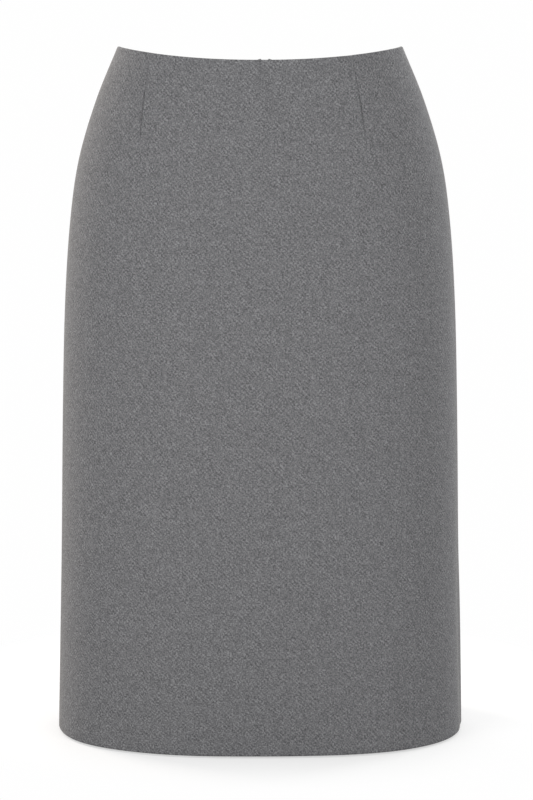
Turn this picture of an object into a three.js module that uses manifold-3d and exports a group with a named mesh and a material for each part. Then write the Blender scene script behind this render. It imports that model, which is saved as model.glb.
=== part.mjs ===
// A knee-length grey flannel skirt, filled out as if worn: a front, two backs and a concealed zip.
// Millimetres, +Z up. The origin is the middle of the waist opening, level with the tops of the side
// seams. The front faces -Y, and the wearer's left side is at +X.
import * as THREE from 'three';
import { mergeVertices } from 'three/addons/utils/BufferGeometryUtils.js';
import Module from 'manifold-3d';

const wasm = await Module();
wasm.setup();

// ---------------------------------------------------------------- driving dimensions

const LENGTH = 602; // waist edge to hem along a side seam
const WALL = 1.6; // the wool flannel with its nap
const TURNED = 3.0; // where the cloth lies double: hem, waist edge and seam allowances
const SEAM_GAP = 0.3; // between two sewn panels
const HEM_DEPTH = 40; // height of the turned-up hem
const EDGE_DEPTH = 12; // height of the turned-in waist edge
const ALLOWANCE = 15; // width of a pressed-open seam allowance
const STEP = 1.2; // the run in which single cloth becomes double
const TURN = 5.2; // how far the skirt sits turned on the figure, at the hip
const FRONT_DIP = 9.4; // the waist edge at centre front, below the side seams
const BACK_SLOPE = 5.5; // the waist edge at centre back: a slope down from the side seams
const BACK_DIP = 9.5; // and a curve below that slope
const DIP_POWER = 2.46; // the curve's power over the depth reached
const DIP_FADE = 165; // the drop at which a level line is level again

// Level sections of the outside, from the waist down. Each is an oval of one half width, a depth in
// front of the side seams and one behind them, and a power: 2 is an ellipse, and more is squarer.
const SECTIONS = [
  { drop: 0, halfWidth: 123.2, front: 92.0, back: 94.0, power: 2.2 },
  { drop: 47, halfWidth: 142.6, front: 100.0, back: 103.5, power: 2.25 },
  { drop: 99, halfWidth: 158.1, front: 108.0, back: 114.0, power: 2.32 },
  { drop: 152, halfWidth: 165.9, front: 113.0, back: 121.5, power: 2.38 },
  { drop: 222, halfWidth: 170.9, front: 117.0, back: 126.0, power: 2.4 },
  { drop: 311, halfWidth: 173.6, front: 119.0, back: 126.5, power: 2.42 },
  { drop: 455, halfWidth: 175.8, front: 120.3, back: 125.0, power: 2.47 },
  { drop: 602, halfWidth: 179.7, front: 121.0, back: 124.0, power: 2.54 },
];
const HIP_DROP = 222; // the level on which places round the skirt are measured

// Waist darts: the middle of the stitched line at the waist edge and at its point, round the hip from
// the panel's centre line, its length, and the width folded away behind it at the waist.
const DARTS = {
  frontRight: { top: -124, point: -112, length: 78, intake: 9 },
  frontLeft: { top: 110, point: 108, length: 72, intake: 9 },
  backLeft: { top: -92, point: -86, length: 120, intake: 13 },
  backRight: { top: 92, point: 86, length: 120, intake: 13 },
};
const DART_GROOVE = 0.7; // how deep the stitched line draws the cloth in
const GROOVE_HALF = 1.6; // half its width

// The zip at centre back. Drops are from the waist edge, and depths are inwards from the outside.
const CLEAR = 0.3; // between pieces that lie on each other
const ZIP = { top: 3, length: 190, tapeWidth: 13, tapeThick: 0.6 };
const CHAIN = { top: 15, half: 2.3, thick: 1.7 };
const TAPE_DEPTH = TURNED + CLEAR;
const CHAIN_DEPTH = TAPE_DEPTH + ZIP.tapeThick + CLEAR;
const SLIT = { half: 4.4, depth: 15, power: 1.5 }; // the open V above the slider, each side at its top
const CORNER = { rise: 1.6, width: 6 }; // the two back corners stand up a little beside the slit
const SLIDER = { top: 4.2, length: 8.6, width: 7, thick: 3.6, corner: 1.2 };
const BAIL = { drop: 8, width: 0.8, foot: 3.4, reach: 2.6, ring: 1.9, hole: 1.1 };
const PULL = { length: 23, head: 4.2, belly: 6.4, thick: 1.0, bar: 1.0, slot: 1.5, slotLength: 3.4, lean: 4 };

// The drops at which the panels are cut into rings: the close pairs are the ends of a double layer.
const DROPS = [
  0, 5, EDGE_DEPTH, EDGE_DEPTH + STEP, 25, 45, 70, 97, 122, 155, ZIP.length, 235, 285, 345, 410, 475,
  530, LENGTH - HEM_DEPTH - STEP, LENGTH - HEM_DEPTH, 580, LENGTH,
];

// ---------------------------------------------------------------- the skirt's form

// A column of SECTIONS at any drop, on a smooth curve through its rows.
function sectionAt(column, drop) {
  const last = SECTIONS.length - 1;
  const slope = (i) => {
    const a = SECTIONS[Math.max(i - 1, 0)];
    const b = SECTIONS[Math.min(i + 1, last)];
    return (b[column] - a[column]) / (b.drop - a.drop);
  };
  let i = 0;
  while (i < last - 1 && drop > SECTIONS[i + 1].drop) i++;
  const a = SECTIONS[i];
  const b = SECTIONS[i + 1];
  const run = b.drop - a.drop;
  const t = (drop - a.drop) / run;
  const bend = slope(i) * run * (t ** 3 - 2 * t ** 2 + t) + slope(i + 1) * run * (t ** 3 - t ** 2);
  return a[column] * (2 * t ** 3 - 3 * t ** 2 + 1) + b[column] * (3 * t ** 2 - 2 * t ** 3) + bend;
}

// The section's point in one direction: angle 0 is centre front and a quarter turn is the +X side.
function onSection(angle, drop) {
  const side = Math.abs(Math.sin(angle));
  const ahead = Math.cos(angle);
  const depth = sectionAt(ahead > 0 ? 'front' : 'back', drop);
  const power = sectionAt('power', drop);
  const form = (side / sectionAt('halfWidth', drop)) ** power + (Math.abs(ahead) / depth) ** power;
  const radius = form ** (-1 / power);
  return new THREE.Vector3(radius * Math.sin(angle), -radius * ahead, -drop);
}

// Lengths round the hip section against angle, from centre front to centre back on the +X side.
const HIP_STEPS = 720;
const HIP_LENGTHS = [0];
for (let i = 1; i <= HIP_STEPS; i++) {
  const a = onSection(((i - 1) / HIP_STEPS) * Math.PI, HIP_DROP);
  const b = onSection((i / HIP_STEPS) * Math.PI, HIP_DROP);
  HIP_LENGTHS.push(HIP_LENGTHS[i - 1] + a.distanceTo(b));
}
const HALF_ROUND = HIP_LENGTHS[HIP_STEPS]; // centre front to centre back
const SIDE = HIP_LENGTHS[HIP_STEPS / 2]; // centre front to a side

// The direction of a place that lies so many millimetres round the hip from centre front.
function angleAt(place) {
  const along = Math.min(Math.abs(place), HALF_ROUND * 2 - Math.abs(place));
  let i = 1;
  while (i < HIP_STEPS && HIP_LENGTHS[i] < along) i++;
  const t = (along - HIP_LENGTHS[i - 1]) / (HIP_LENGTHS[i] - HIP_LENGTHS[i - 1]);
  const angle = ((i - 1 + t) / HIP_STEPS) * Math.PI;
  return Math.sign(place) * (Math.abs(place) > HALF_ROUND ? 2 * Math.PI - angle : angle);
}

// How far the waist edge lies below the side seams in one direction.
function waistDip(angle) {
  const p = onSection(angle, 0);
  const front = p.y < 0;
  const out = Math.abs(p.y) / sectionAt(front ? 'front' : 'back', 0);
  return front ? FRONT_DIP * out ** DIP_POWER : BACK_SLOPE * out + BACK_DIP * out ** DIP_POWER;
}

// The outside of the cloth: a place round the hip, and a drop from the waist edge.
function onSkirt(place, drop) {
  const angle = angleAt(place);
  const dip = waistDip(angle) * Math.max(0, 1 - drop / DIP_FADE) ** 2;
  return onSection(angle, drop + dip);
}

// The same point moved in by a depth, square to the cloth.
function inside(place, drop, depth) {
  const here = onSkirt(place, drop);
  const across = onSkirt(place + 1, drop).sub(onSkirt(place - 1, drop));
  const down = onSkirt(place, Math.min(drop + 1, LENGTH)).sub(onSkirt(place, Math.max(drop - 1, 0)));
  const out = new THREE.Vector3().crossVectors(down, across).normalize();
  return here.addScaledVector(out, -depth);
}

// ---------------------------------------------------------------- closed walls on that form

// A wall with an outer and an inner grid of points and the rims between them, as one closed mesh.
function wall(outer, inner) {
  const rows = outer.length;
  const columns = outer[0].length;
  const points = [...outer.flat(), ...inner.flat()];
  const at = (layer, r, c) => layer * rows * columns + r * columns + c;
  const index = [];
  const face = (a, b, c, d) => index.push(a, b, c, a, c, d);
  for (let r = 0; r < rows - 1; r++) {
    for (let c = 0; c < columns - 1; c++) {
      face(at(0, r, c), at(0, r + 1, c), at(0, r + 1, c + 1), at(0, r, c + 1));
      face(at(1, r, c), at(1, r, c + 1), at(1, r + 1, c + 1), at(1, r + 1, c));
    }
    const end = columns - 1;
    face(at(0, r, 0), at(1, r, 0), at(1, r + 1, 0), at(0, r + 1, 0));
    face(at(0, r, end), at(0, r + 1, end), at(1, r + 1, end), at(1, r, end));
  }
  for (let c = 0; c < columns - 1; c++) {
    const end = rows - 1;
    face(at(0, 0, c), at(0, 0, c + 1), at(1, 0, c + 1), at(1, 0, c));
    face(at(0, end, c), at(1, end, c), at(1, end, c + 1), at(0, end, c + 1));
  }
  const geometry = new THREE.BufferGeometry().setFromPoints(points);
  geometry.setIndex(index);
  geometry.computeVertexNormals();
  return geometry;
}

// Evenly spaced values strictly between two ends.
function between(from, to, count) {
  return Array.from({ length: count }, (_, i) => from + ((to - from) * (i + 1)) / (count + 1));
}

// A dart's stitched line at one drop, below its point too, so that the grid stays even.
function dartLine(dart, drop) {
  return dart.top + (dart.point - dart.top) * Math.min(drop / dart.length, 1);
}

// What is left of a dart at one drop: 1 at the waist edge and 0 from its point down.
function dartLeft(dart, drop) {
  return Math.max(0, 1 - drop / dart.length);
}

// The columns that a dart needs: across its groove, then over the fold that lies towards the centre.
function dartColumns(dart, middle, drop) {
  const line = middle + dartLine(dart, drop);
  const inward = -Math.sign(dartLine(dart, drop));
  const fold = Math.max(dart.intake * dartLeft(dart, drop), 2 * GROOVE_HALF);
  const steps = [-GROOVE_HALF, 0, GROOVE_HALF, fold, fold + STEP];
  return steps.map((s) => line + inward * s).sort((a, b) => a - b);
}

// Half of the V above the slider, at one drop.
function slitHalf(drop) {
  return SEAM_GAP / 2 + SLIT.half * Math.max(0, 1 - drop / SLIT.depth) ** SLIT.power;
}

// One panel: its columns at a drop, its middle, its darts, and the place of a zip edge if it has one.
function panel({ columns, middle, darts, zipEdge }) {
  const outer = [];
  const inner = [];
  for (const drop of DROPS) {
    const places = columns(drop);
    const first = places[0];
    const last = places[places.length - 1];
    const outerRow = [];
    const innerRow = [];
    for (const place of places) {
      const fromEdge = Math.min(place - first, last - place);
      const double = drop <= EDGE_DEPTH || drop >= LENGTH - HEM_DEPTH || fromEdge <= ALLOWANCE + 0.01;
      let groove = 0;
      let folded = false;
      for (const dart of darts) {
        const left = dartLeft(dart, drop);
        const off = (place - middle - dartLine(dart, drop)) * -Math.sign(dart.top);
        if (Math.abs(off) < GROOVE_HALF / 2) groove = DART_GROOVE * Math.sqrt(left);
        if (left > 0 && off > -0.01 && off < dart.intake * left + 0.01) folded = true;
      }
      const thick = double || folded ? TURNED : WALL;
      const toZip = zipEdge === undefined ? CORNER.width : Math.abs(place - zipEdge) - slitHalf(drop);
      const rise = CORNER.rise * Math.max(0, 1 - toZip / CORNER.width) * Math.max(0, 1 - drop / EDGE_DEPTH);
      const lift = new THREE.Vector3(0, 0, rise);
      outerRow.push(inside(place, drop, groove).add(lift));
      innerRow.push(inside(place, drop, thick).add(lift));
    }
    outer.push(outerRow);
    inner.push(innerRow);
  }
  return wall(outer, inner);
}

// ---------------------------------------------------------------- the pieces

const group = new THREE.Group();

function add(name, geometry, material) {
  const mesh = new THREE.Mesh(geometry, material);
  mesh.name = name;
  group.add(mesh);
}

const flannel = () => new THREE.MeshStandardMaterial({ color: 0x767678, roughness: 0.95, metalness: 0 });
const tapeCloth = () => new THREE.MeshStandardMaterial({ color: 0x5c5c5f, roughness: 0.85, metalness: 0 });
const nylon = () => new THREE.MeshStandardMaterial({ color: 0x4d4d50, roughness: 0.5, metalness: 0 });
const painted = () => new THREE.MeshStandardMaterial({ color: 0x66666a, roughness: 0.4, metalness: 0.6 });

const CENTRE_BACK = HALF_ROUND - TURN; // the centre-back seam, going round by +X
const FRONT_EDGES = [-SIDE - TURN, SIDE - TURN];
const FRONT_MIDDLE = -TURN;

// The ends of a panel: its edge, the end of its allowance, and the step down to single cloth.
const startEdge = (edge) => [edge, edge + ALLOWANCE, edge + ALLOWANCE + STEP];
const finishEdge = (edge) => [edge - ALLOWANCE - STEP, edge - ALLOWANCE, edge];

function frontColumns(drop) {
  const start = startEdge(FRONT_EDGES[0] + SEAM_GAP / 2);
  const right = dartColumns(DARTS.frontRight, FRONT_MIDDLE, drop);
  const left = dartColumns(DARTS.frontLeft, FRONT_MIDDLE, drop);
  const finish = finishEdge(FRONT_EDGES[1] - SEAM_GAP / 2);
  return [
    ...start, ...between(start[2], right[0], 6),
    ...right, ...between(right[4], left[0], 9),
    ...left, ...between(left[4], finish[0], 6), ...finish,
  ];
}

add('front_panel', panel({
  columns: frontColumns, middle: FRONT_MIDDLE, darts: [DARTS.frontRight, DARTS.frontLeft],
}), flannel());

// The left back runs from its side seam to the zip, and the right back from the zip onwards.
function leftColumns(drop) {
  const start = startEdge(FRONT_EDGES[1] + SEAM_GAP / 2);
  const dart = dartColumns(DARTS.backLeft, CENTRE_BACK, drop);
  const finish = finishEdge(CENTRE_BACK - slitHalf(drop));
  return [...start, ...between(start[2], dart[0], 6), ...dart, ...between(dart[4], finish[0], 4), ...finish];
}

function rightColumns(drop) {
  const start = startEdge(CENTRE_BACK + slitHalf(drop));
  const dart = dartColumns(DARTS.backRight, CENTRE_BACK, drop);
  const finish = finishEdge(FRONT_EDGES[0] + 2 * HALF_ROUND - SEAM_GAP / 2);
  return [...start, ...between(start[2], dart[0], 4), ...dart, ...between(dart[4], finish[0], 6), ...finish];
}

for (const [name, columns, dart] of [
  ['back_panel_left', leftColumns, DARTS.backLeft],
  ['back_panel_right', rightColumns, DARTS.backRight],
]) {
  add(name, panel({ columns, middle: CENTRE_BACK, darts: [dart], zipEdge: CENTRE_BACK }), flannel());
}

// A strip that lies behind the cloth: between two places at each drop, at a depth, and so thick.
function strip(drops, ends, depth, thick) {
  const layer = (deep) => drops.map((drop) => ends(drop).map((place) => inside(place, drop, deep)));
  return wall(layer(depth), layer(depth + thick));
}

// Tapes and chain bend on the same rings as the panels, so that they stay clear of them.
const zipRings = (top) => [top, ...DROPS.filter((drop) => drop > top + 1 && drop <= ZIP.length)];

for (const [name, side] of [['zip_tape_left', -1], ['zip_tape_right', 1]]) {
  const ends = (drop) => {
    const near = CENTRE_BACK + side * (slitHalf(drop) + CLEAR);
    const far = CENTRE_BACK + side * (SEAM_GAP / 2 + ZIP.tapeWidth + SLIT.half);
    return side < 0 ? [far, near] : [near, far];
  };
  add(name, strip(zipRings(ZIP.top), ends, TAPE_DEPTH, ZIP.tapeThick), tapeCloth());
}

const chainEnds = () => [CENTRE_BACK - CHAIN.half, CENTRE_BACK + CHAIN.half];
add('zip_chain', strip(zipRings(CHAIN.top), chainEnds, CHAIN_DEPTH, CHAIN.thick), nylon());

// ---------------------------------------------------------------- slider and pull tab

// Places at the slider: x along the world's X, y down along the cloth and z out from it.
function atSlider(drop, height, lean = 0) {
  const here = onSkirt(CENTRE_BACK, drop);
  const down = onSkirt(CENTRE_BACK, drop + 1).sub(onSkirt(CENTRE_BACK, drop - 1)).setX(0).normalize();
  const across = new THREE.Vector3(1, 0, 0);
  const out = new THREE.Vector3().crossVectors(across, down);
  here.addScaledVector(out, height);
  const turned = new THREE.Matrix4().makeRotationX(THREE.MathUtils.degToRad(lean));
  return new THREE.Matrix4().makeBasis(across, down, out).setPosition(here).multiply(turned);
}

// A three.js geometry as a manifold-3d solid, and back.
function toSolid(geometry) {
  const bare = geometry.clone();
  bare.deleteAttribute('normal');
  bare.deleteAttribute('uv');
  const merged = mergeVertices(bare, 1e-4);
  const vertProperties = merged.attributes.position.array;
  const triVerts = new Uint32Array(merged.index.array);
  return new wasm.Manifold(new wasm.Mesh({ numProp: 3, vertProperties, triVerts }));
}

function fromSolid(solid) {
  const { vertProperties, triVerts } = solid.getMesh();
  const geometry = new THREE.BufferGeometry();
  geometry.setAttribute('position', new THREE.BufferAttribute(vertProperties, 3));
  geometry.setIndex(new THREE.BufferAttribute(triVerts, 1));
  geometry.computeVertexNormals();
  return geometry;
}

// The slider: a body with round corners behind the tapes, and a thin eye that stands out of the slit.
function slider() {
  const { width, length, corner, thick } = SLIDER;
  const plate = new THREE.Shape();
  plate.moveTo(-width / 2 + corner, 0);
  plate.lineTo(width / 2 - corner, 0);
  plate.quadraticCurveTo(width / 2, 0, width / 2, corner);
  plate.lineTo(width / 2 - corner, length);
  plate.lineTo(-width / 2 + corner, length);
  plate.lineTo(-width / 2, corner);
  plate.quadraticCurveTo(-width / 2, 0, -width / 2 + corner, 0);
  const body = new THREE.ExtrudeGeometry(plate, { depth: thick, bevelEnabled: false, curveSegments: 4 });
  body.translate(0, SLIDER.top - BAIL.drop, -CHAIN_DEPTH - thick);

  // The eye's outline: x is down along the cloth, and y is out from it.
  const half = BAIL.foot / 2;
  const start = Math.asin(Math.sqrt(1 - (half / BAIL.ring) ** 2));
  const outline = new THREE.Shape();
  outline.moveTo(-half, -CHAIN_DEPTH - thick / 2);
  outline.lineTo(half, -CHAIN_DEPTH - thick / 2);
  outline.absarc(0, BAIL.reach, BAIL.ring, -start, Math.PI + start, false);
  const hole = new THREE.Path();
  hole.absarc(0, BAIL.reach, BAIL.hole, 0, 2 * Math.PI, true);
  outline.holes.push(hole);
  const bend = { depth: BAIL.width, bevelEnabled: false, curveSegments: 10 };
  const eye = new THREE.ExtrudeGeometry(outline, bend);
  eye.translate(0, 0, -BAIL.width / 2);
  eye.applyMatrix4(new THREE.Matrix4().makeBasis(
    new THREE.Vector3(0, 1, 0), new THREE.Vector3(0, 0, 1), new THREE.Vector3(1, 0, 0),
  ));
  return fromSolid(toSolid(body).add(toSolid(eye)));
}

// The pull tab: a drop-shaped plate whose top bar goes through the eye, x across and y along it.
function pullTab() {
  const { length, head, belly, thick, bar, slot, slotLength } = PULL;
  const top = -bar / 2;
  const widest = length - belly / 2;
  const tab = new THREE.Shape();
  tab.moveTo(-head / 2, top);
  tab.lineTo(head / 2, top);
  tab.lineTo(head / 2, bar / 2 + slotLength);
  tab.quadraticCurveTo(head / 2, widest / 2, belly / 2, widest);
  tab.absarc(0, widest, belly / 2, 0, Math.PI, false);
  tab.quadraticCurveTo(-head / 2, widest / 2, -head / 2, bar / 2 + slotLength);
  const opening = new THREE.Path();
  opening.moveTo(-slot / 2, bar / 2);
  opening.lineTo(-slot / 2, bar / 2 + slotLength);
  opening.lineTo(slot / 2, bar / 2 + slotLength);
  opening.lineTo(slot / 2, bar / 2);
  tab.holes.push(opening);
  const plate = new THREE.ExtrudeGeometry(tab, { depth: thick, bevelEnabled: false, curveSegments: 6 });
  return plate.translate(0, 0, -thick / 2);
}

function addAt(name, geometry, material, place) {
  add(name, geometry, material);
  group.children.at(-1).applyMatrix4(place);
}

addAt('zip_slider', slider(), painted(), atSlider(BAIL.drop, 0));
addAt('zip_pull', pullTab(), painted(), atSlider(BAIL.drop, BAIL.reach, -PULL.lean));

export default group;
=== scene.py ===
"""A knee-length skirt in grey wool flannel, filled out as if worn, on a white studio floor.

Lengths are in millimetres until a mesh is made. A place is a length round the hip from centre front,
towards +X, and a drop is a length down from the waist edge at the side seams.
"""
import math

import bmesh
import bpy
import numpy as np
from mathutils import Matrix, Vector


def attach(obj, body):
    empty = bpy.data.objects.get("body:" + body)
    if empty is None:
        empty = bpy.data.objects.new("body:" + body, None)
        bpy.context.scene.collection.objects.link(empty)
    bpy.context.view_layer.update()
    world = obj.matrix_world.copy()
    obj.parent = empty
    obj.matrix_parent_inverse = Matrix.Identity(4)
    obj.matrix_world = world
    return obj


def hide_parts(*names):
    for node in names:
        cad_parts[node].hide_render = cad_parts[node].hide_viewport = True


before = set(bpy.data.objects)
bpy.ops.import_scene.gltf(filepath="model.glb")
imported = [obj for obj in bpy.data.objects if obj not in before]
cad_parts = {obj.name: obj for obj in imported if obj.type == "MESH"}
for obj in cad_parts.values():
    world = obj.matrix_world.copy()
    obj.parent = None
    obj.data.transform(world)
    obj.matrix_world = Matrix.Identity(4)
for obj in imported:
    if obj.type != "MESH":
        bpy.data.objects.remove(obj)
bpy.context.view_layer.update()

MM = 0.001

# ---------------------------------------------------------------- the skirt's measures

# Level sections of the outside: drop, half width, depth in front, depth behind, and the oval's power.
SECTIONS = np.array([
    (0, 123.2, 92.0, 94.0, 2.20),
    (47, 142.6, 100.0, 103.5, 2.25),
    (99, 158.1, 108.0, 114.0, 2.32),
    (152, 165.9, 113.0, 121.5, 2.38),
    (222, 170.9, 117.0, 126.0, 2.40),
    (311, 173.6, 119.0, 126.5, 2.42),
    (455, 175.8, 120.3, 125.0, 2.47),
    (602, 179.7, 121.0, 124.0, 2.54),
])
HALF_WIDTH, FRONT_DEPTH, BACK_DEPTH, POWER = 1, 2, 3, 4
LENGTH = 602.0
HIP_DROP = 222.0
TURN = 5.2  # the skirt sits turned by this much on the figure
FRONT_DIP = 9.4  # how far the waist edge lies below the side seams at centre front
BACK_SLOPE, BACK_DIP = 5.5, 9.5  # and at centre back, in two parts
DIP_POWER = 2.46
DIP_FADE = 165.0  # the drop at which the cloth no longer follows the waist edge's dip

HALF_CLOTH = 0.68  # half the thickness of the flannel
LAYER = 1.5  # from the middle of one layer to the middle of the next
OVER = 4.0  # the length over which a turned-in layer rises over a raw edge
EDGE_DEPTH = 12.0  # the turned-in waist edge
HEM_DEPTH = 40.0
ALLOWANCE = 15.0
SEAM_GAP = 0.3
SEAM_ROLL, SEAM_ROLL_WIDTH = 0.9, 1.3  # the cloth rolls in at a seam
SLIT_HALF, SLIT_DEPTH, SLIT_POWER = 4.4, 15.0, 1.5  # the open V above the slider
CORNER_RISE, CORNER_WIDTH = 1.6, 6.0  # the back corners stand up beside the slit

# Threads: stitches and half thicknesses.
OVERLOCK_PITCH = 3.2  # one overlock stitch
OVERLOCK_REACH, OVERLOCK_SWING = 1.6, 1.9  # the middle and the half width of its zigzag
OVERLOCK_NEEDLE = 3.3  # the needle thread, in from the raw edge
LOOPER_HALF, NEEDLE_HALF, HEM_THREAD_HALF, TAPE_THREAD_HALF = 0.2, 0.17, 0.16, 0.2
CLEAR = 0.12  # a thread's middle, off the face of the cloth
HEM_STITCH = 8.0  # from one blind stitch to the next
TAPE_STITCH = 2.5  # one machine stitch
TAPE_SEAM = 11.5  # the machine stitches, from centre back

# The zip: drops of its top and bottom, then depths inwards from the outside of the cloth.
ZIP_TOP, ZIP_BOTTOM = 3.0, 190.0
COIL_TOP = 15.0
TAPE_DEPTH, TAPE_HALF = 3.6, 0.28  # the middle of the tape, and half its thickness
TAPE_INNER, TAPE_OUTER = 0.45, 17.0  # its edges: from the slit's edge, and from centre back
COIL_DEPTH = 5.05
COIL_PITCH = 1.35
COIL_HALF = 0.3  # half the thickness of the nylon, and of the cord
COIL_OUT, COIL_ACROSS, COIL_DEEP = 1.0, 1.2, 0.5  # a coil's middle from centre back, half sizes
CORD_OUT = 1.7  # the cord in a coil, from centre back
STOP_HALF = (2.7, 2.1, 1.15)  # the bottom stop: half sizes across, down and inwards
STOP_UP, STOP_ROUND = 4.0, 0.45  # up from the zip's bottom, and the power that rounds it

# Darts: place of the stitched line from the panel's middle at the waist edge and at the point,
# length, and width of the fold behind it at the waist.
FRONT_DARTS = [(-124, -112, 78, 9), (110, 108, 72, 9)]
BACK_DARTS = [(-92, -86, 120, 13), (92, 86, 120, 13)]


# ---------------------------------------------------------------- the skirt's form

def section_at(column, drop):
    """A column of SECTIONS at any drops: a cubic through the rows, whose slope at a row is that
    from the row above to the row below."""
    x, y = SECTIONS[:, 0], SECTIONS[:, column]
    above = np.maximum(np.arange(len(x)) - 1, 0)
    below = np.minimum(np.arange(len(x)) + 1, len(x) - 1)
    slope = (y[below] - y[above]) / (x[below] - x[above])
    i = np.clip(np.searchsorted(x, drop) - 1, 0, len(x) - 2)
    run = x[i + 1] - x[i]
    t = (drop - x[i]) / run
    bend = slope[i] * run * (t**3 - 2 * t**2 + t) + slope[i + 1] * run * (t**3 - t**2)
    return y[i] * (2 * t**3 - 3 * t**2 + 1) + y[i + 1] * (3 * t**2 - 2 * t**3) + bend


def on_section(angle, drop):
    """Points of the level sections in given directions: angle 0 is centre front and a quarter turn
    is +X. The radius r solves (r sin / half width)^power + (r cos / depth)^power = 1."""
    side, ahead = np.abs(np.sin(angle)), np.cos(angle)
    depth = np.where(ahead > 0, section_at(FRONT_DEPTH, drop), section_at(BACK_DEPTH, drop))
    power = section_at(POWER, drop)
    form = (side / section_at(HALF_WIDTH, drop)) ** power + (np.abs(ahead) / depth) ** power
    radius = form ** (-1 / power)
    return np.stack([radius * np.sin(angle), -radius * ahead, -drop + 0 * radius], -1)


HIP_STEPS = 720  # the pieces into which half of the hip's round is cut to measure it
HIP_ANGLES = np.linspace(0, math.pi, HIP_STEPS + 1)
HIP_POINTS = on_section(HIP_ANGLES, np.full(HIP_STEPS + 1, HIP_DROP))
HIP_LENGTHS = np.append(0, np.cumsum(np.linalg.norm(np.diff(HIP_POINTS, axis=0), axis=1)))
HALF_ROUND = HIP_LENGTHS[-1]  # centre front to centre back, round the hip
SIDE = HIP_LENGTHS[HIP_STEPS // 2]  # centre front to a side


def angle_at(place):
    """The direction of a place, which may lie past centre back."""
    along = np.minimum(np.abs(place), 2 * HALF_ROUND - np.abs(place))
    angle = np.interp(along, HIP_LENGTHS, HIP_ANGLES)
    return np.sign(place) * np.where(np.abs(place) > HALF_ROUND, 2 * math.pi - angle, angle)


def waist_dip(angle):
    """How far the waist edge lies below the side seams: a power curve in front, and a slope and a
    power curve behind, all over the depth reached."""
    y = on_section(angle, np.zeros_like(angle))[..., 1]
    front = FRONT_DIP * (np.abs(y) / SECTIONS[0, FRONT_DEPTH]) ** DIP_POWER
    out = np.abs(y) / SECTIONS[0, BACK_DEPTH]
    return np.where(y < 0, front, BACK_SLOPE * out + BACK_DIP * out**DIP_POWER)


def on_skirt(place, drop):
    """Points of the smooth outside of the skirt."""
    angle = angle_at(place)
    dip = waist_dip(angle) * np.clip(1 - drop / DIP_FADE, 0, None) ** 2
    return on_section(angle, drop + dip)


def outward(place, drop):
    """Unit vectors square to the smooth outside: down the cloth crossed with along it."""
    along = on_skirt(place + 1, drop) - on_skirt(place - 1, drop)
    down = on_skirt(place, np.minimum(drop + 1, LENGTH)) - on_skirt(place, np.maximum(drop - 1, 0))
    out = np.cross(down, along)
    return out / np.linalg.norm(out, axis=-1, keepdims=True)


# ---------------------------------------------------------------- creases, darts and soft folds

# Soft folds: place, drop, half width, half length, height (below 0 is a trough), and lean in
# millimetres of place for each millimetre of drop.
FOLDS = np.array([
    # the side that stands to the left of the front
    (-236, 430, 9, 110, -0.9, 0.00),
    (-214, 470, 10, 150, 0.8, -0.02),
    (-250, 250, 12, 120, 0.9, 0.01),
    # the side that stands to the right of the front
    (236, 395, 7, 45, -1.5, -0.10),
    (247, 380, 6, 60, 1.3, -0.06),
    (214, 540, 11, 95, -1.4, 0.03),
    (229, 520, 9, 110, 1.3, 0.02),
    (205, 250, 16, 120, -0.6, 0.02),
    # the front, very faint
    (-60, 520, 26, 160, 0.7, 0.03),
    (-120, 560, 22, 120, -0.6, -0.02),
    (40, 560, 30, 130, -0.7, 0.02),
    (110, 500, 24, 170, 0.6, -0.03),
    (0, 330, 60, 130, 0.5, 0.00),
    # below the front darts' points
    (-118, 96, 9, 20, 0.5, 0.00),
    (103, 90, 9, 20, 0.5, 0.00),
    # the back
    (330, 480, 12, 150, -1.5, 0.02),
    (352, 510, 11, 130, 1.4, 0.03),
    (300, 330, 14, 90, -0.9, -0.05),
    (440, 540, 18, 120, 1.2, 0.02),
    (472, 500, 16, 160, -1.1, -0.02),
    (560, 520, 20, 140, 1.0, -0.03),
    (610, 460, 12, 150, -1.4, 0.02),
    (632, 500, 11, 120, 1.3, 0.02),
    (660, 300, 14, 100, -0.8, 0.05),
    (398, 140, 10, 26, 0.7, 0.00),
    (588, 140, 10, 26, 0.7, 0.00),
    # the seat just below the zip's end
    (490, 214, 9, 20, -0.8, 0.00),
])
DART_DEPTH, DART_HALF = 1.1, 0.55  # the stitched line draws the cloth in
DART_EASE = 0.6  # the share of a dart's length over which the groove grows from the waist edge
DART_SWELL, DART_SWELL_AT, DART_SWELL_HALF = 0.35, 4.0, 3.5  # the cloth over the fold stands up
DART_FOLD = 2.0  # how far a dart's fold stands in from the cloth
DART_FOLD_HALF = 1.0  # half the thickness of the two layers of the fold
DART_BLEND = 3.0  # how soft the edges of a dart's fold are
DART_BEND = 45.0  # how far from a dart the columns bend with it


def dart_line(dart, drop):
    """Places of a dart's stitched line: straight to its point, and level below it."""
    top, point, length, _ = dart
    return top + (point - top) * np.minimum(drop / length, 1)


def relief(place, drop, middle, darts):
    """Heights over the smooth outside: exp(-a^2 - b^2) for each soft fold, with a and b the shares of
    its half sizes, and a groove -depth exp(-a^2) along each dart, beside a low swell. The groove
    grows from the waist edge down and fades out at the point."""
    height = np.zeros(np.broadcast(place, drop).shape)
    for at, level, half_width, half_length, rise, lean in FOLDS:
        for turn in (0, 2 * HALF_ROUND):
            across = (place - at + turn - lean * (drop - level)) / half_width
            height += rise * np.exp(-across**2 - ((drop - level) / half_length) ** 2)
    for dart in darts:
        off = place - middle - dart_line(dart, drop)
        grown = 0.3 + 0.7 * np.clip(drop / (DART_EASE * dart[2]), 0, 1)
        strength = grown * np.minimum(np.clip(1.06 - drop / dart[2], 0, 1) * 4.5, 1) ** 0.7
        height -= DART_DEPTH * strength * np.exp(-(off / DART_HALF) ** 2)
        swell = (off - DART_SWELL_AT * np.sign(dart[0])) / DART_SWELL_HALF
        height += DART_SWELL * strength * np.exp(-swell**2)
    return height


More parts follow.
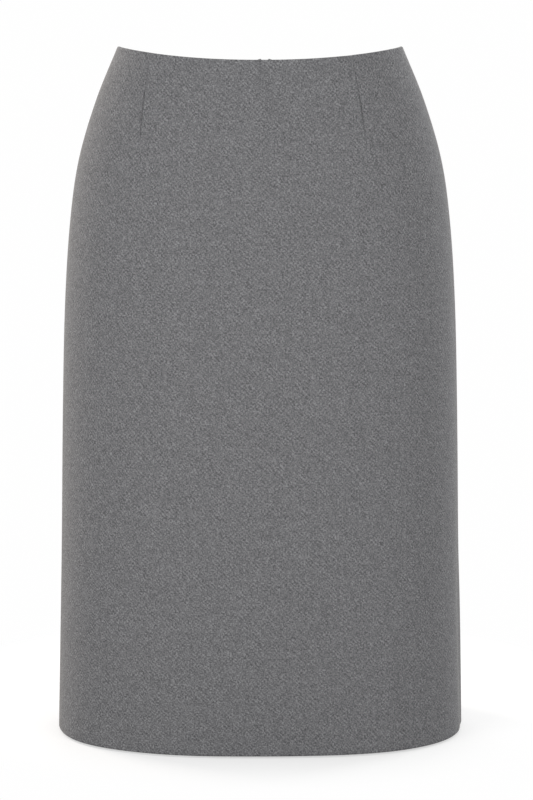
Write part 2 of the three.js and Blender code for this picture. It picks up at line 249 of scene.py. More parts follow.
def slit_half(drop):
    """Half of the gap at centre back: a seam's, and the V that opens above the slider."""
    return SEAM_GAP / 2 + SLIT_HALF * np.clip(1 - drop / SLIT_DEPTH, 0, None) ** SLIT_POWER


# ---------------------------------------------------------------- meshes

def steps(start, stop, coarse, fine=0.4, near=(), reach=3.0):
    """Values from start to stop, a coarse step apart and a fine step apart near some of them: equal
    shares of the running total of a density, which is 1 / step with round peaks."""
    line = np.linspace(start, stop, 4000)
    density = np.full(line.shape, 1 / coarse)
    for centre in near:
        density += np.exp(-(((line - centre) / reach) ** 2)) / fine
    total = np.append(0, np.cumsum((density[1:] + density[:-1]) / 2 * np.diff(line)))
    return np.interp(np.linspace(0, total[-1], int(total[-1]) + 2), total, line)


def mesh_object(name, points, faces, uv=None):
    """A mesh object at the origin from points in millimetres and a list of face index arrays."""
    mesh = bpy.data.meshes.new(name)
    points = np.asarray(points, float).reshape(-1, 3) * MM
    loops = np.concatenate([f.ravel() for f in faces])
    sizes = np.concatenate([np.full(len(f), f.shape[1]) for f in faces])
    mesh.vertices.add(len(points))
    mesh.vertices.foreach_set("co", points.ravel())
    mesh.loops.add(len(loops))
    mesh.loops.foreach_set("vertex_index", loops.astype(np.int32))
    mesh.polygons.add(len(sizes))
    mesh.polygons.foreach_set("loop_start", np.append(0, np.cumsum(sizes)[:-1]).astype(np.int32))
    mesh.polygons.foreach_set("loop_total", sizes.astype(np.int32))
    if uv is not None:
        layer = mesh.uv_layers.new(name="cloth")
        layer.data.foreach_set("uv", (np.asarray(uv)[loops] * MM).ravel())
    mesh.update(calc_edges=True)
    mesh.validate()
    mesh.polygons.foreach_set("use_smooth", np.ones(len(sizes), bool))
    obj = bpy.data.objects.new(name, mesh)
    bpy.context.scene.collection.objects.link(obj)
    return obj


def grid_faces(ids):
    """Four-sided faces of a grid of vertex numbers, facing rows crossed with columns."""
    return np.stack([ids[:-1, :-1], ids[1:, :-1], ids[1:, 1:], ids[:-1, 1:]], -1).reshape(-1, 4)


class Cloth:
    """Sheets of cloth gathered into one mesh, with the plane of the cloth as its UV map."""

    def __init__(self):
        self.points, self.uv, self.faces = [], [], []
        self.count = 0

    def sheet(self, middle, plane, half=HALF_CLOTH, smooth=None):
        """Adds a sheet: two faces half a thickness to each side of a grid of middle points. The
        thickness falls to nothing in a half round at the four edges, where the faces are one. Where
        the grid has narrow creases, smooth is the same grid without them, and the faces lie square
        to that one."""
        rows, columns = middle.shape[:2]
        square_to = middle if smooth is None else smooth
        normal = np.cross(np.gradient(square_to, axis=0), np.gradient(square_to, axis=1))
        normal /= np.linalg.norm(normal, axis=-1, keepdims=True)
        run = np.linalg.norm(np.diff(middle, axis=0), axis=-1)
        down = np.vstack([np.zeros((1, columns)), np.cumsum(run, 0)])
        run = np.linalg.norm(np.diff(middle, axis=1), axis=-1)
        along = np.hstack([np.zeros((rows, 1)), np.cumsum(run, 1)])
        edge = np.minimum(down, down[-1:] - down)
        edge = np.minimum(edge, np.minimum(along, along[:, -1:] - along))
        round_off = np.sqrt(1 - (1 - np.clip(edge / half, 0, 1)) ** 2)
        out = normal * (half * round_off)[..., None]
        front = np.arange(rows * columns).reshape(rows, columns)
        inner = np.ones((rows, columns), bool)
        inner[[0, -1], :] = False
        inner[:, [0, -1]] = False
        back = front.copy()
        back[inner] = rows * columns + np.arange(inner.sum())
        self.points += [(middle + out).reshape(-1, 3), (middle - out)[inner]]
        self.uv += [plane.reshape(-1, 2), plane[inner]]
        self.faces += [grid_faces(front) + self.count, grid_faces(back)[:, ::-1] + self.count]
        self.count += rows * columns + inner.sum()

    def thread(self, path, plane, radius, sides=4):
        """Adds a thread: a tube round a path of points, which narrows to almost nothing at its two
        closed ends. Each ring is radius (up cos + side sin), square to the path."""
        ahead = np.gradient(path, axis=0)
        ahead /= np.linalg.norm(ahead, axis=-1, keepdims=True)
        up = np.cross(ahead, np.array([0.12, 0.31, 0.94]))
        up /= np.linalg.norm(up, axis=-1, keepdims=True)
        side = np.cross(ahead, up)
        turn = np.arange(sides) * 2 * math.pi / sides
        size = np.full(len(path), radius)
        size[[0, -1]] = radius * 0.05
        ring = up[:, None] * np.cos(turn)[:, None] + side[:, None] * np.sin(turn)[:, None]
        points = path[:, None] + ring * size[:, None, None]
        ids = np.arange(len(path) * sides).reshape(len(path), sides) + self.count
        ids = np.hstack([ids, ids[:, :1]])
        self.points.append(points.reshape(-1, 3))
        self.uv.append(np.repeat(plane, sides, axis=0))
        self.faces += [grid_faces(ids), ids[:1, :-1][:, ::-1].copy(), ids[-1:, :-1].copy()]
        self.count += len(path) * sides

    def made(self, name):
        """The mesh object of all that was added."""
        return mesh_object(name, np.concatenate(self.points), self.faces, np.concatenate(self.uv))


# ---------------------------------------------------------------- the three panels

CENTRE_BACK = HALF_ROUND - TURN
RIGHT_SEAM, LEFT_SEAM = -SIDE - TURN, SIDE - TURN


def fold_path():
    """Drops and depths of the middle of the cloth along a panel's length: up the inside of the
    turned-in waist edge, over it, down the outside, under the hem and up inside it. The folds are
    half circles, one layer across."""
    r = LAYER / 2
    over = np.linspace(0, math.pi, 9)
    top, bottom = HALF_CLOTH + r, LENGTH - HALF_CLOTH - r
    waist_in = np.linspace(EDGE_DEPTH, top, 6)[:-1]
    outside = steps(top, bottom, 3.7, 1.6, near=(0, LENGTH), reach=10)[1:-1]
    hem_in = LENGTH - steps(0, HEM_DEPTH, 5.0, 1.0, near=(0, HEM_DEPTH), reach=2)[2:]
    drop = [waist_in, top - r * np.sin(over), outside, bottom + r * np.sin(over), hem_in]
    share = [1 + 0 * waist_in, (1 + np.cos(over)) / 2, 0 * outside, (1 - np.cos(over)) / 2,
             1 + 0 * hem_in]
    return np.concatenate(drop), HALF_CLOTH + LAYER * np.concatenate(share)


def on_cloth(place, drop, height):
    """Points at a height over the smooth outside, square to it. The back corners stand up beside
    the slit, by a straight ramp across and one down."""
    points = on_skirt(place, drop) + outward(place, drop) * height[..., None]
    from_slit = np.abs(place - CENTRE_BACK) - slit_half(drop)
    across = np.clip(1 - from_slit / CORNER_WIDTH, 0, 1)
    points[..., 2] += CORNER_RISE * across * np.clip(1 - drop / EDGE_DEPTH, 0, 1)
    return points


def dart_window(place, drop, middle, dart):
    """1 over the fold behind a dart, which lies towards the panel's middle and narrows to its
    point, and 0 from DART_BLEND beyond it."""
    width = dart[3] * np.clip(1 - drop / dart[2], 0, 1)
    off = (place - middle - dart_line(dart, drop)) * -np.sign(dart[0])
    near = np.clip(1 + off / DART_BLEND, 0, 1)
    return near * np.clip(1 + (width - off) / DART_BLEND, 0, 1) * (width > 0)


def lifted(place, drop, seam, middle, darts):
    """How much further in a turned-in layer lies where it passes over the allowances, which reach
    ALLOWANCE from a seam, and over the dart folds."""
    over = LAYER * np.clip(1 - (seam - ALLOWANCE) / OVER, 0, 1)
    for dart in darts:
        over = np.maximum(over, DART_FOLD * dart_window(place, drop, middle, dart))
    return over


def outer_sheet(cloth, first, last, middle, darts):
    """The sheet of one panel: its grid follows the fold path down and runs from edge to edge. Columns
    near a dart bend with it. The turned-in layers pass over the allowances and the dart folds."""
    drop, depth = fold_path()
    drop, depth = drop[:, None], depth[:, None]
    start, stop = first(HIP_DROP), last(HIP_DROP)
    fine_at = [start, stop] + [middle + dart[1] for dart in darts]
    share = (steps(start, stop, 4.1, 0.3, near=fine_at, reach=2.2) - start) / (stop - start)
    place = first(drop) + (last(drop) - first(drop)) * share
    for dart in darts:
        shift = dart_line(dart, drop) - dart[1]
        place = place + shift * np.exp(-(((place - middle - dart[1]) / DART_BEND) ** 2))
    drop = drop + 0 * place
    seam = np.minimum(place - first(drop), last(drop) - place)
    turned = (depth - HALF_CLOTH) / LAYER
    roll = SEAM_ROLL * np.clip(1 - seam / SEAM_ROLL_WIDTH, 0, 1) ** 2 * (1 - turned)
    under = depth + turned * lifted(place, drop, seam, middle, darts) + roll
    points = on_cloth(place, drop, relief(place, drop, middle, darts) - under)
    smooth = on_cloth(place, drop, relief(place, drop, middle, []) - under)
    run = np.linalg.norm(np.diff(points, axis=1), axis=-1)
    across = np.hstack([np.zeros((len(drop), 1)), np.cumsum(run, 1)])
    centre = np.array([np.interp(middle, p, a) for p, a in zip(place, across)])
    run = np.linalg.norm(np.diff(points[:, points.shape[1] // 2], axis=0), axis=-1)
    length = np.append(0, np.cumsum(run))
    plane = np.stack([across - centre[:, None], length[:, None] + 0 * place], -1)
    cloth.sheet(points, plane, smooth=smooth)
    return across[:, -1], length


def allowance(cloth, edge, inward):
    """The seam allowance at a panel's edge, pressed open: a strip one layer inside the panel. Where
    the waist edge and the hem leave it free, it curls in towards its raw edge and ripples slowly:
    depth = layer + (curl + ripple) s^2, with s the share of its width. At the seam it turns out to
    meet the panel."""
    drop = steps(1.6, LENGTH - 3.0, 6.0)[:, None]
    from_seam = np.array([-0.12, 0.5, 1.3, 3, 5.5, 8.5, 11.5, 13.6, 14.5, ALLOWANCE])[None]
    place = edge(drop) + inward * from_seam
    ripple = 0.35 * np.sin(drop / 23 + 2 * inward) + 0.25 * np.sin(drop / 9.1 + inward)
    free = np.clip((drop - 20) / 25, 0, 1) * np.clip((LENGTH - 60 - drop) / 25, 0, 1)
    depth = HALF_CLOTH + LAYER - 0.55 * np.clip(1 - from_seam / SEAM_ROLL_WIDTH, 0, 1) ** 2
    depth = depth + free * (0.5 + ripple) * (from_seam / ALLOWANCE) ** 2
    height = relief(place, drop, CENTRE_BACK, []) - depth
    points = on_cloth(place, drop + 0 * place, height)
    plane = np.stack([from_seam + 0 * place, drop + 0 * place], -1)
    cloth.sheet(points[:, ::inward], plane[:, ::inward])
    return place[:, -1], drop[:, 0], -height[:, -1]


def dart_fold(cloth, middle, dart):
    """The fold behind a dart: a thicker strip just inside the cloth, from the stitched line towards
    the panel's middle, as wide as the intake at the waist edge and nothing at the point."""
    drop = steps(1.6, dart[2] * 0.97, 4.0)[:, None]
    share = np.linspace(0, 1, 9)[None]
    inward = -int(np.sign(dart[0]))
    place = middle + dart_line(dart, drop) + inward * share * dart[3] * (1 - drop / dart[2])
    depth = 2 * HALF_CLOTH + DART_FOLD_HALF + 0.15
    points = on_cloth(place, drop + 0 * place, -depth + 0 * place)
    plane = np.stack([share * dart[3] + 0 * place, drop + 0 * place], -1)
    cloth.sheet(points[:, ::inward], plane[:, ::inward], half=DART_FOLD_HALF)


def overlock(threads, place, drop, depth, inward_place, inward_drop):
    """Overlock stitches along a raw edge, given as places, drops and depths of the cloth's middle: a
    zigzag of thread whose reach in from the edge is middle - swing cos(phase), over the cloth's inner
    face and round its edge, and a needle thread along the inner points."""
    run = np.append(0, np.cumsum(np.hypot(np.diff(place), np.diff(drop))))
    count = int(run[-1] / OVERLOCK_PITCH) * 4
    at = np.linspace(0, run[-1], count + 1)
    place, drop, depth = (np.interp(at, run, line) for line in (place, drop, depth))
    phase = np.arange(count + 1) * math.pi / 2
    reach = OVERLOCK_REACH - OVERLOCK_SWING * np.cos(phase)
    round_edge = 0.75 * np.clip(-reach / (OVERLOCK_SWING - OVERLOCK_REACH), 0, 1)
    face = depth + HALF_CLOTH + CLEAR
    zigzag = on_cloth(place + inward_place * reach, drop + inward_drop * reach, round_edge - face)
    threads.thread(zigzag, np.stack([at, reach], -1), LOOPER_HALF)
    needle = on_cloth(place + inward_place * OVERLOCK_NEEDLE, drop + inward_drop * OVERLOCK_NEEDLE,
                      -face - 0.1 * np.cos(phase * 2))
    threads.thread(needle, np.stack([at, 0 * at], -1), NEEDLE_HALF)


def hem_stitches(threads, first, last):
    """Blind stitches: short slanted threads from the hem's raw edge to the cloth, clear of the
    allowances."""
    drop = LENGTH - HEM_DEPTH + np.array([3.0, 0.4, -0.6, -1.4])
    depth = HALF_CLOTH * 2 + np.array([LAYER + CLEAR, LAYER + 0.25, 0.6, -0.1])
    slant = np.array([0.0, 0.7, 1.0, 1.3])
    clear = ALLOWANCE + 6
    for place in np.arange(first + clear, last - clear, HEM_STITCH):
        path = on_cloth(place + slant, drop, -depth)
        threads.thread(path, np.stack([drop, depth], -1), HEM_THREAD_HALF)


def panel(name, first, last, middle, darts):
    """One panel with its allowances and dart folds, and the thread that finishes its raw edges. Gives
    the two objects and the panel's flat width, length and area, which are the cut's."""
    cloth, threads = Cloth(), Cloth()
    widths, length = outer_sheet(cloth, first, last, middle, darts)
    for edge, inward in ((first, 1), (last, -1)):
        place, drop, depth = allowance(cloth, edge, inward)
        shown = (drop > EDGE_DEPTH + 2) & (drop < LENGTH - HEM_DEPTH - 2)
        overlock(threads, place[shown], drop[shown], depth[shown], -inward, 0)
    for dart in darts:
        dart_fold(cloth, middle, dart)
    for level, inward in ((EDGE_DEPTH, -1), (LENGTH - HEM_DEPTH, 1)):
        place = steps(float(first(level)) + 1, float(last(level)) - 1, 3.0)
        drop = np.full(place.shape, level)
        seam = np.minimum(place - place[0], place[-1] - place)
        over = lifted(place, drop, seam, middle, darts)
        overlock(threads, place, drop, HALF_CLOTH + LAYER + over, 0, inward)
    hem_stitches(threads, float(first(LENGTH)), float(last(LENGTH)))
    intake = sum(dart[3] * dart[2] / 2 for dart in darts)
    net = np.sum((widths[1:] + widths[:-1]) / 2 * np.diff(length))
    area = net + 2 * ALLOWANCE * length[-1] + intake
    cut = (widths.max() + 2 * ALLOWANCE) * MM, length[-1] * MM, area * MM * MM
    return cloth.made(name), threads.made(name.replace("cloth", "thread")), cut


def constant(place):
    """An edge that keeps one place all the way down."""
    return lambda drop: place + 0 * np.asarray(drop, float)


# Each panel's node and objects: from edge to edge, its middle, and its darts.
PANELS = [
    ("front_panel", *panel(
        "front_cloth", constant(RIGHT_SEAM + SEAM_GAP / 2), constant(LEFT_SEAM - SEAM_GAP / 2),
        -TURN, FRONT_DARTS)),
    ("back_panel_left", *panel(
        "back_left_cloth", constant(LEFT_SEAM + SEAM_GAP / 2),
        lambda drop: CENTRE_BACK - slit_half(drop), CENTRE_BACK, BACK_DARTS[:1])),
    ("back_panel_right", *panel(
        "back_right_cloth", lambda drop: CENTRE_BACK + slit_half(drop),
        constant(RIGHT_SEAM + 2 * HALF_ROUND - SEAM_GAP / 2), CENTRE_BACK, BACK_DARTS[1:])),
]


# ---------------------------------------------------------------- the zip

def zip_tape(name, side):
    """A zip tape: a flat strip behind the cloth, from beside the slit to its outer edge."""
    drop = steps(ZIP_TOP, ZIP_BOTTOM, 2.6)[:, None]
    near = slit_half(drop) + TAPE_INNER
    place = CENTRE_BACK + side * (near + (TAPE_OUTER - near) * np.linspace(0, 1, 15)[None])
    points = on_cloth(place, drop + 0 * place, -TAPE_DEPTH + 0 * place)
    plane = np.stack([place - CENTRE_BACK, drop + 0 * place], -1)
    tape = Cloth()
    tape.sheet(points[:, ::side], plane[:, ::side], half=TAPE_HALF)
    return tape.made(name)


def tape_stitches():
    """The two lines of machine stitches that hold the tapes: a thread that dips into the tape at each
    stitch's ends, by the root of |sin(pi drop / stitch)|."""
    threads = Cloth()
    drop = np.arange(ZIP_TOP + 1.5, ZIP_BOTTOM - 1.5, TAPE_STITCH / 6)
    lift = 0.3 * np.abs(np.sin(math.pi * drop / TAPE_STITCH)) ** 0.5 - 0.16
    for side in (-1, 1):
        place = np.full(drop.shape, CENTRE_BACK + side * TAPE_SEAM)
        path = on_cloth(place, drop, -(TAPE_DEPTH + TAPE_HALF + lift))
        threads.thread(path, np.stack([drop, place], -1), TAPE_THREAD_HALF)
    return threads.made("zip_stitches")


def coil():
    """The teeth: a nylon coil on each tape, wound as a flat helix, across = side (out - half cos) and
    deep = half sin of the phase, half a turn apart so that the heads lock. A cord runs in each."""
    teeth = Cloth()
    turns = (ZIP_BOTTOM - 2 - COIL_TOP) / COIL_PITCH
    phase = np.arange(int(turns * 8)) * math.pi / 4
    drop = COIL_TOP + 0.6 + phase / (2 * math.pi) * COIL_PITCH
    for side in (-1, 1):
        turn = phase + (math.pi if side > 0 else 0)
        across = side * (COIL_OUT - COIL_ACROSS * np.cos(turn))
        path = on_cloth(CENTRE_BACK + across, drop, -(COIL_DEPTH + COIL_DEEP * np.sin(turn)))
        teeth.thread(path, np.stack([across, drop], -1), COIL_HALF, sides=6)
        line = np.arange(COIL_TOP, ZIP_BOTTOM - 1, 1.5)
        cord = on_cloth(CENTRE_BACK + side * CORD_OUT + 0 * line, line, 0.1 - COIL_DEPTH + 0 * line)
        teeth.thread(cord, np.stack([line, line], -1), COIL_HALF, sides=6)
    return teeth.made("zip_coil")


def bottom_stop():
    """A pressed metal clip across the coil's end: half sizes times cos u cos v, sin u cos v and
    sin v, each cos and sin to the power STOP_ROUND, which makes a block with round edges."""
    u = np.linspace(0, 2 * math.pi, 41)[None, :-1]
    v = np.linspace(-math.pi / 2, math.pi / 2, 21)[:, None]
    cos_u, sin_u, cos_v, sin_v = (
        np.sign(wave) * np.abs(wave) ** STOP_ROUND
        for wave in (np.cos(u), np.sin(u), np.cos(v), np.sin(v)))
    across, down = STOP_HALF[0] * cos_u * cos_v, STOP_HALF[1] * sin_u * cos_v
    deep = STOP_HALF[2] * sin_v
    points = on_cloth(CENTRE_BACK + across, ZIP_BOTTOM - STOP_UP + down, -(COIL_DEPTH + deep + 0 * u))
    ids = np.arange(u.size * v.size).reshape(v.size, u.size)
    ids = np.hstack([ids, ids[:, :1]])
    stop = mesh_object("zip_bottom_stop", points, [grid_faces(ids)])
    tidy_mesh(stop.data)
    return stop


def tidy_mesh(mesh):
    """Merges points that meet, drops faces of no size, and turns every face outwards."""
    work = bmesh.new()
    work.from_mesh(mesh)
    bmesh.ops.remove_doubles(work, verts=work.verts, dist=0.01 * MM)
    bmesh.ops.dissolve_degenerate(work, edges=work.edges, dist=0.005 * MM)
    bmesh.ops.recalc_face_normals(work, faces=work.faces)
    work.to_mesh(mesh)
    work.free()


SHARP = math.radians(30)


def soft_edged(node_name, name, width):
    """A metal piece with the small round edges that casting and paint leave: the piece's solid, with
    its flat faces made whole and a round bevel on every edge sharper than SHARP."""
    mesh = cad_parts[node_name].data.copy()
    mesh.materials.clear()
    tidy_mesh(mesh)
    work = bmesh.new()
    work.from_mesh(mesh)
    bmesh.ops.dissolve_limit(work, angle_limit=math.radians(1), verts=work.verts, edges=work.edges)
    work.to_mesh(mesh)
    work.free()
    mesh.polygons.foreach_set("use_smooth", np.ones(len(mesh.polygons), bool))
    made = bpy.data.objects.new(name, mesh)
    bpy.context.scene.collection.objects.link(made)
    bevel = made.modifiers.new("round edges", "BEVEL")
    bevel.width, bevel.segments = width * MM, 3
    bevel.limit_method, bevel.angle_limit = "ANGLE", SHARP
    bevel.harden_normals = True
    return made


TAPES = [
    ("zip_tape_left", zip_tape("left_tape", -1), "back_left_cloth"),
    ("zip_tape_right", zip_tape("right_tape", 1), "back_right_cloth"),
]
ZIP_STITCHES = tape_stitches()
COIL = coil()
STOP = bottom_stop()
SLIDER = soft_edged("zip_slider", "slider", 0.14)
PULL = soft_edged("zip_pull", "pull_tab_plate", 0.22)


# ---------------------------------------------------------------- materials

def linear(hex_colour):
    """An sRGB hex colour as linear red, green, blue and alpha."""
    value = np.array([int(hex_colour[i:i + 2], 16) for i in (1, 3, 5)]) / 255
    value = np.where(value <= 0.04045, value / 12.92, ((value + 0.055) / 1.055) ** 2.4)
    return (*value, 1.0)


def new_material(name):
    """A material whose node tree is empty."""
    material = bpy.data.materials.new(name)
    material.use_nodes = True
    material.node_tree.nodes.clear()
    return material


def node(tree, kind, links=(), **settings):
    """Adds a node. A setting is an input's value where an input has that name, or else the node's
    own property. links gives (input, source) pairs, and a source is an output or a constant."""
    made = tree.nodes.new(kind)
    for key, value in settings.items():
        if key in made.inputs:
            made.inputs[key].default_value = value
        elif key.replace("_", " ") in made.inputs:
            made.inputs[key.replace("_", " ")].default_value = value
        else:
            setattr(made, key, value)
    for key, source in links:
        if isinstance(source, bpy.types.NodeSocket):
            tree.links.new(source, made.inputs[key])
        else:
            made.inputs[key].default_value = source
    return made


# What breaks up the flannel's grey: turn in degrees, width and length of a cell in millimetres,
# octaves beyond the first, and weight either way. The cells in between are soft lighter and darker
# patches of the melange.
FLANNEL_GRAINS = [
    (0, 1.25, 1.25, 1, 0.50),  # speckle of dark and pale fibres
    (0, 3.2, 3.2, 0, 0.13),
    (0, 8.0, 8.0, 1, 0.09),
    (0, 24.0, 24.0, 2, 0.04),  # uneven milling
    (20, 0.12, 0.9, 1, 0.16),  # single fibres
]
# The lines of the weave: turn and weight, then the way from line to line and the size of the patches
# in which they come and go, both in millimetres, and how far their phase wanders, in radians.
TWILL_LINES = [(-45, 0.085), (45, 0.06)]
TWILL_PITCH, TWILL_PATCH, TWILL_WANDER = 2.75, 9.0, 5.5
WAVE = 2 * math.pi / 20  # the scale at which a wave texture repeats once a unit


def wool_flannel():
    """Wool flannel: carded yarns of dark and pale fibres, woven in a twill and milled to a short
    matt nap. The eye sees a mid grey broken by fine speckle, with patches of faint diagonal lines,
    and a pale halo where the nap is seen edge on. The real twill is about 1 mm from line to line and
    its speckle is finer still. Both are drawn as coarse as they need to be to show."""
    material = new_material("milled wool flannel")
    tree = material.node_tree
    uv = node(tree, "ShaderNodeUVMap", uv_map="cloth").outputs["UV"]
    total = 0.5
    for turn, width, length, octaves, weight in FLANNEL_GRAINS:
        cell = node(tree, "ShaderNodeMapping", [("Vector", uv)], vector_type="TEXTURE",
                    Rotation=(0, 0, math.radians(turn)), Scale=(width * MM, length * MM, 1))
        grain = node(tree, "ShaderNodeTexNoise", [("Vector", cell.outputs["Vector"])],
                     noise_dimensions="2D", Scale=1.0, Detail=octaves)
        grain = node(tree, "ShaderNodeMath", [(0, grain.outputs["Fac"]), (1, 2 * weight), (2, -weight)],
                     operation="MULTIPLY_ADD")
        total = node(tree, "ShaderNodeMath", [(0, grain.outputs[0]), (1, total)],
                     operation="ADD").outputs[0]
    patch = node(tree, "ShaderNodeTexNoise", [("Vector", uv)], noise_dimensions="2D",
                 Scale=1 / (TWILL_PATCH * MM), Detail=1.0)
    for turn, weight in TWILL_LINES:
        strength = node(tree, "ShaderNodeMapRange", [(0, patch.outputs["Fac"]), (1, 0.38), (2, 0.68),
                                                     (3, 0.8 * weight), (4, 3.4 * weight)])
        turned = node(tree, "ShaderNodeMapping", [("Vector", uv)], vector_type="TEXTURE",
                      Rotation=(0, 0, math.radians(turn)), Scale=(MM, MM, 1))
        lines = node(tree, "ShaderNodeTexWave", [("Vector", turned.outputs["Vector"])],
                     bands_direction="X", wave_profile="SIN", Scale=WAVE / TWILL_PITCH,
                     Distortion=TWILL_WANDER, Detail=1.0, **{"Detail Scale": 2.2})
        lines = node(tree, "ShaderNodeMath", [(0, lines.outputs["Fac"]), (1, 0.5)],
                     operation="SUBTRACT")
        total = node(tree, "ShaderNodeMath", [(0, lines.outputs[0]), (1, strength.outputs["Result"]),
                                              (2, total)], operation="MULTIPLY_ADD").outputs[0]
    colour = node(tree, "ShaderNodeValToRGB", [("Fac", total)])
    ramp = colour.color_ramp
    ramp.elements[0].position, ramp.elements[0].color = 0.15, linear("#575759")
    ramp.elements[1].position, ramp.elements[1].color = 0.85, linear("#909092")
    ramp.elements.new(0.5).color = linear("#727274")
    bump = node(tree, "ShaderNodeBump", [("Height", total)], Strength=0.3, Distance=0.0005)
    shader = node(tree, "ShaderNodeBsdfPrincipled",
                  [("Base Color", colour.outputs["Color"]), ("Normal", bump.outputs["Normal"]),
                   ("Specular IOR Level", 0.15), ("Sheen Weight", 0.45), ("Sheen Roughness", 0.2),
                   ("Sheen Tint", linear("#cfccc6"))], Roughness=0.92)
    node(tree, "ShaderNodeOutputMaterial", [("Surface", shader.outputs["BSDF"])])
    return material


def polyester_tape():
    """Woven polyester tape: fine ribs along it, 0.7 mm apart, crossed by threads 0.5 mm apart, with a
    slight gloss on each thread."""
    material = new_material("woven polyester tape")
    tree = material.node_tree
    uv = node(tree, "ShaderNodeUVMap", uv_map="cloth").outputs["UV"]
    ribs = node(tree, "ShaderNodeTexWave", [("Vector", uv)], bands_direction="X", wave_profile="SIN",
                Scale=WAVE / (0.7 * MM), Distortion=0.0).outputs["Fac"]
    picks = node(tree, "ShaderNodeTexWave", [("Vector", uv)], bands_direction="Y", wave_profile="SIN",
                 Scale=WAVE / (0.5 * MM), Distortion=0.4).outputs["Fac"]
    weave = node(tree, "ShaderNodeMath", [(0, ribs), (1, picks)], operation="MULTIPLY").outputs[0]
    grains = node(tree, "ShaderNodeTexNoise", [("Vector", uv)], noise_dimensions="2D",
                  Scale=1 / (4 * MM), Detail=1.0).outputs["Fac"]
    uneven = node(tree, "ShaderNodeMath", [(0, grains), (1, 1.0), (2, -0.5)], operation="MULTIPLY_ADD")
    uneven = node(tree, "ShaderNodeMath", [(0, weave), (1, uneven.outputs[0])], operation="ADD")
    colour = node(tree, "ShaderNodeValToRGB", [("Fac", uneven.outputs[0])])
    colour.color_ramp.elements[0].color = linear("#4a4a4d")
    colour.color_ramp.elements[1].color = linear("#6a6a6e")
    bump = node(tree, "ShaderNodeBump", [("Height", weave)], Strength=0.6, Distance=0.0002)
    shader = node(tree, "ShaderNodeBsdfPrincipled",
                  [("Base Color", colour.outputs["Color"]), ("Normal", bump.outputs["Normal"])],
                  Roughness=0.7, **{"Specular IOR Level": 0.4})
    node(tree, "ShaderNodeOutputMaterial", [("Surface", shader.outputs["BSDF"])])
    return material


def plain_finish(name, dark, pale, grain, roughness, depth, **more):
    """A smooth solid-coloured finish whose colour and surface vary by a little, in grains so many
    millimetres wide."""
    material = new_material(name)
    tree = material.node_tree
    place = node(tree, "ShaderNodeTexCoord").outputs["Object"]
    grains = node(tree, "ShaderNodeTexNoise", [("Vector", place)], Scale=1 / (grain * MM), Detail=2.0)
    grains = grains.outputs["Fac"]
    colour = node(tree, "ShaderNodeValToRGB", [("Fac", grains)])
    colour.color_ramp.elements[0].position, colour.color_ramp.elements[0].color = 0.3, linear(dark)
    colour.color_ramp.elements[1].position, colour.color_ramp.elements[1].color = 0.7, linear(pale)
    bump = node(tree, "ShaderNodeBump", [("Height", grains)], Strength=0.25, Distance=depth * MM)
    rough = node(tree, "ShaderNodeMapRange", [(0, grains), (1, 0.3), (2, 0.7), (3, roughness - 0.05),
                                              (4, roughness + 0.05)])
    shader = node(tree, "ShaderNodeBsdfPrincipled",
                  [("Base Color", colour.outputs["Color"]), ("Normal", bump.outputs["Normal"]),
                   ("Roughness", rough.outputs["Result"])], **more)
    node(tree, "ShaderNodeOutputMaterial", [("Surface", shader.outputs["BSDF"])])
    return material


FLANNEL = wool_flannel()
TAPE = polyester_tape()
# Spun polyester sewing thread: matt, with short dark and pale fibres twisted along it.
THREAD = plain_finish("spun polyester thread", "#626266", "#7c7c80", 0.35, 0.75, 0.05)
# Nylon coil, extruded and heat set: smooth, half gloss, IOR 1.53.
NYLON = plain_finish("nylon coil", "#48484b", "#525255", 2.0, 0.36, 0.01, IOR=1.53)
# Die-cast zinc under baked paint: a smooth half-gloss coat with a faint orange peel.
PAINT = plain_finish("baked paint on zinc", "#606064", "#6a6a6e", 1.2, 0.34, 0.02,
                     **{"Coat Weight": 0.25})


# ---------------------------------------------------------------- what stands for what

def finished(piece, material, body="skirt", stands_for=None):
    """Gives a piece its finish and its body, and hides the CAD piece that it stands for."""
    piece.data.materials.append(material)
    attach(piece, body)
    if stands_for:
        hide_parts(stands_for)


for stands_for, cloth, threads, (width, length, area) in PANELS:
    finished(cloth, FLANNEL, stands_for=stands_for)
    finished(threads, THREAD)
for stands_for, tape, behind in TAPES:
    finished(tape, TAPE, stands_for=stands_for)
finished(ZIP_STITCHES, THREAD)
finished(COIL, NYLON, stands_for="zip_chain")
finished(STOP, PAINT)
finished(SLIDER, PAINT, stands_for="zip_slider")
finished(PULL, PAINT, body="pull_tab", stands_for="zip_pull")


# ---------------------------------------------------------------- floor, lights and camera

FLOOR = -LENGTH - 1.5  # the hem hangs just clear of the floor
WHITE = (0.995, 0.995, 0.995, 1)
SHADOW_AT = (0, 100 * MM, FLOOR * MM)  # where the skirt's shadow is centred on the floor
SHADOW_REACH = 0.22, 0.33  # metres from there, between which the paper turns all white
SHADOW_WHITE = 0.52  # the share of white within them


def seen_directly(tree):
    """1 where the camera or a reflection sees the surface, and 0 for the light that it scatters."""
    path = node(tree, "ShaderNodeLightPath").outputs
    return node(tree, "ShaderNodeMath", operation="ADD", use_clamp=True,
                links=[(0, path["Is Camera Ray"]), (1, path["Is Glossy Ray"])]).outputs[0]


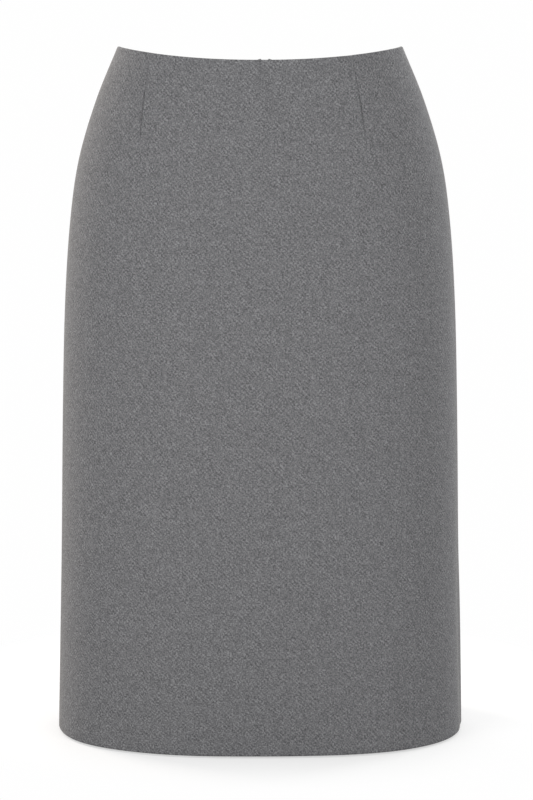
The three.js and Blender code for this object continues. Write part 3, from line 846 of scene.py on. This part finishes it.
def studio_white():
    """Matt white paper, lit to white: part of what the camera sees is plain white, so that shadows
    stay pale. Away from the skirt it is all white. The light that it scatters is that of grey paper,
    so that it doesn't brighten the skirt from below."""
    material = new_material("matt white paper")
    tree = material.node_tree
    place = node(tree, "ShaderNodeTexCoord").outputs["Object"]
    away = node(tree, "ShaderNodeVectorMath", [(0, place), (1, SHADOW_AT)], operation="DISTANCE")
    fade = node(tree, "ShaderNodeMapRange", interpolation_type="SMOOTHSTEP", links=[
        (0, away.outputs["Value"]), (1, SHADOW_REACH[0]), (2, SHADOW_REACH[1]), (3, SHADOW_WHITE),
        (4, 1.0)])
    paper = node(tree, "ShaderNodeBsdfDiffuse", Color=(0.97, 0.97, 0.97, 1))
    white = node(tree, "ShaderNodeEmission", Color=WHITE, Strength=1.0)
    seen_paper = node(tree, "ShaderNodeMixShader", [(0, fade.outputs["Result"]), (1, paper.outputs[0]),
                                                    (2, white.outputs[0])])
    dull = node(tree, "ShaderNodeBsdfDiffuse", Color=(0.46, 0.46, 0.46, 1))
    mix = node(tree, "ShaderNodeMixShader", [(0, seen_directly(tree)), (1, dull.outputs[0]),
                                             (2, seen_paper.outputs[0])])
    node(tree, "ShaderNodeOutputMaterial", [("Surface", mix.outputs[0])])
    return material


def floor():
    """A flat square floor, far wider than any view of the skirt."""
    reach = 6000.0
    corners = [(x * reach, y * reach, FLOOR) for x, y in ((-1, -1), (1, -1), (1, 1), (-1, 1))]
    made = mesh_object("floor", corners, [np.array([[0, 1, 2, 3]])])
    made.data.materials.append(studio_white())


def area_light(name, position, target, width, height, power, colour="#ffffff"):
    """A rectangular soft light at a position, facing a target, both in millimetres."""
    data = bpy.data.lights.new(name, "AREA")
    data.shape = "RECTANGLE"
    data.size, data.size_y = width * MM, height * MM
    data.energy = power
    data.color = linear(colour)[:3]
    lamp = bpy.data.objects.new(name, data)
    lamp.location = Vector(position) * MM
    lamp.rotation_euler = (Vector(target) * MM - lamp.location).to_track_quat("-Z", "Y").to_euler()
    bpy.context.scene.collection.objects.link(lamp)


def studio():
    """Plain soft light from all round, a little stronger from in front, and two lights behind the
    sides that catch the nap at the outline."""
    world = bpy.data.worlds.new("studio")
    bpy.context.scene.world = world
    world.use_nodes = True
    tree = world.node_tree
    tree.nodes.clear()
    air = node(tree, "ShaderNodeBackground", Color=(0.995, 0.995, 0.99, 1), Strength=0.64)
    white = node(tree, "ShaderNodeBackground", Color=WHITE, Strength=1.0)
    mix = node(tree, "ShaderNodeMixShader", [(0, seen_directly(tree)), (1, air.outputs[0]),
                                             (2, white.outputs[0])])
    node(tree, "ShaderNodeOutputWorld", [("Surface", mix.outputs[0])])
    middle = (0, 0, -300)
    area_light("front left light", (-750, -1000, 0), middle, 600, 700, 4.4)
    area_light("front right light", (700, -1100, 0), middle, 600, 700, 3.8)
    area_light("left light", (-1520, 1220, 400), middle, 700, 1600, 32, "#fff6ec")
    area_light("right light", (1500, 1250, 350), middle, 600, 1600, 19)
    area_light("back light", (200, 2400, 1100), middle, 2000, 1200, 22)
    area_light("top light", (0, 0, 2300), middle, 1800, 1800, 5)


def camera():
    """A long lens 2.5 m in front of the skirt, a little above its waist, and looking down."""
    data = bpy.data.cameras.new("camera")
    data.sensor_width, data.lens = 36.0, 128.7
    data.clip_start, data.clip_end = 0.1, 50
    made = bpy.data.objects.new("camera", data)
    made.location = Vector((5.6, -2500, 57.9)) * MM
    made.rotation_euler = (math.radians(90 - 8.39), 0, 0)
    bpy.context.scene.collection.objects.link(made)
    bpy.context.scene.camera = made


floor()
studio()
camera()
bpy.context.scene.view_settings.view_transform = "Standard"
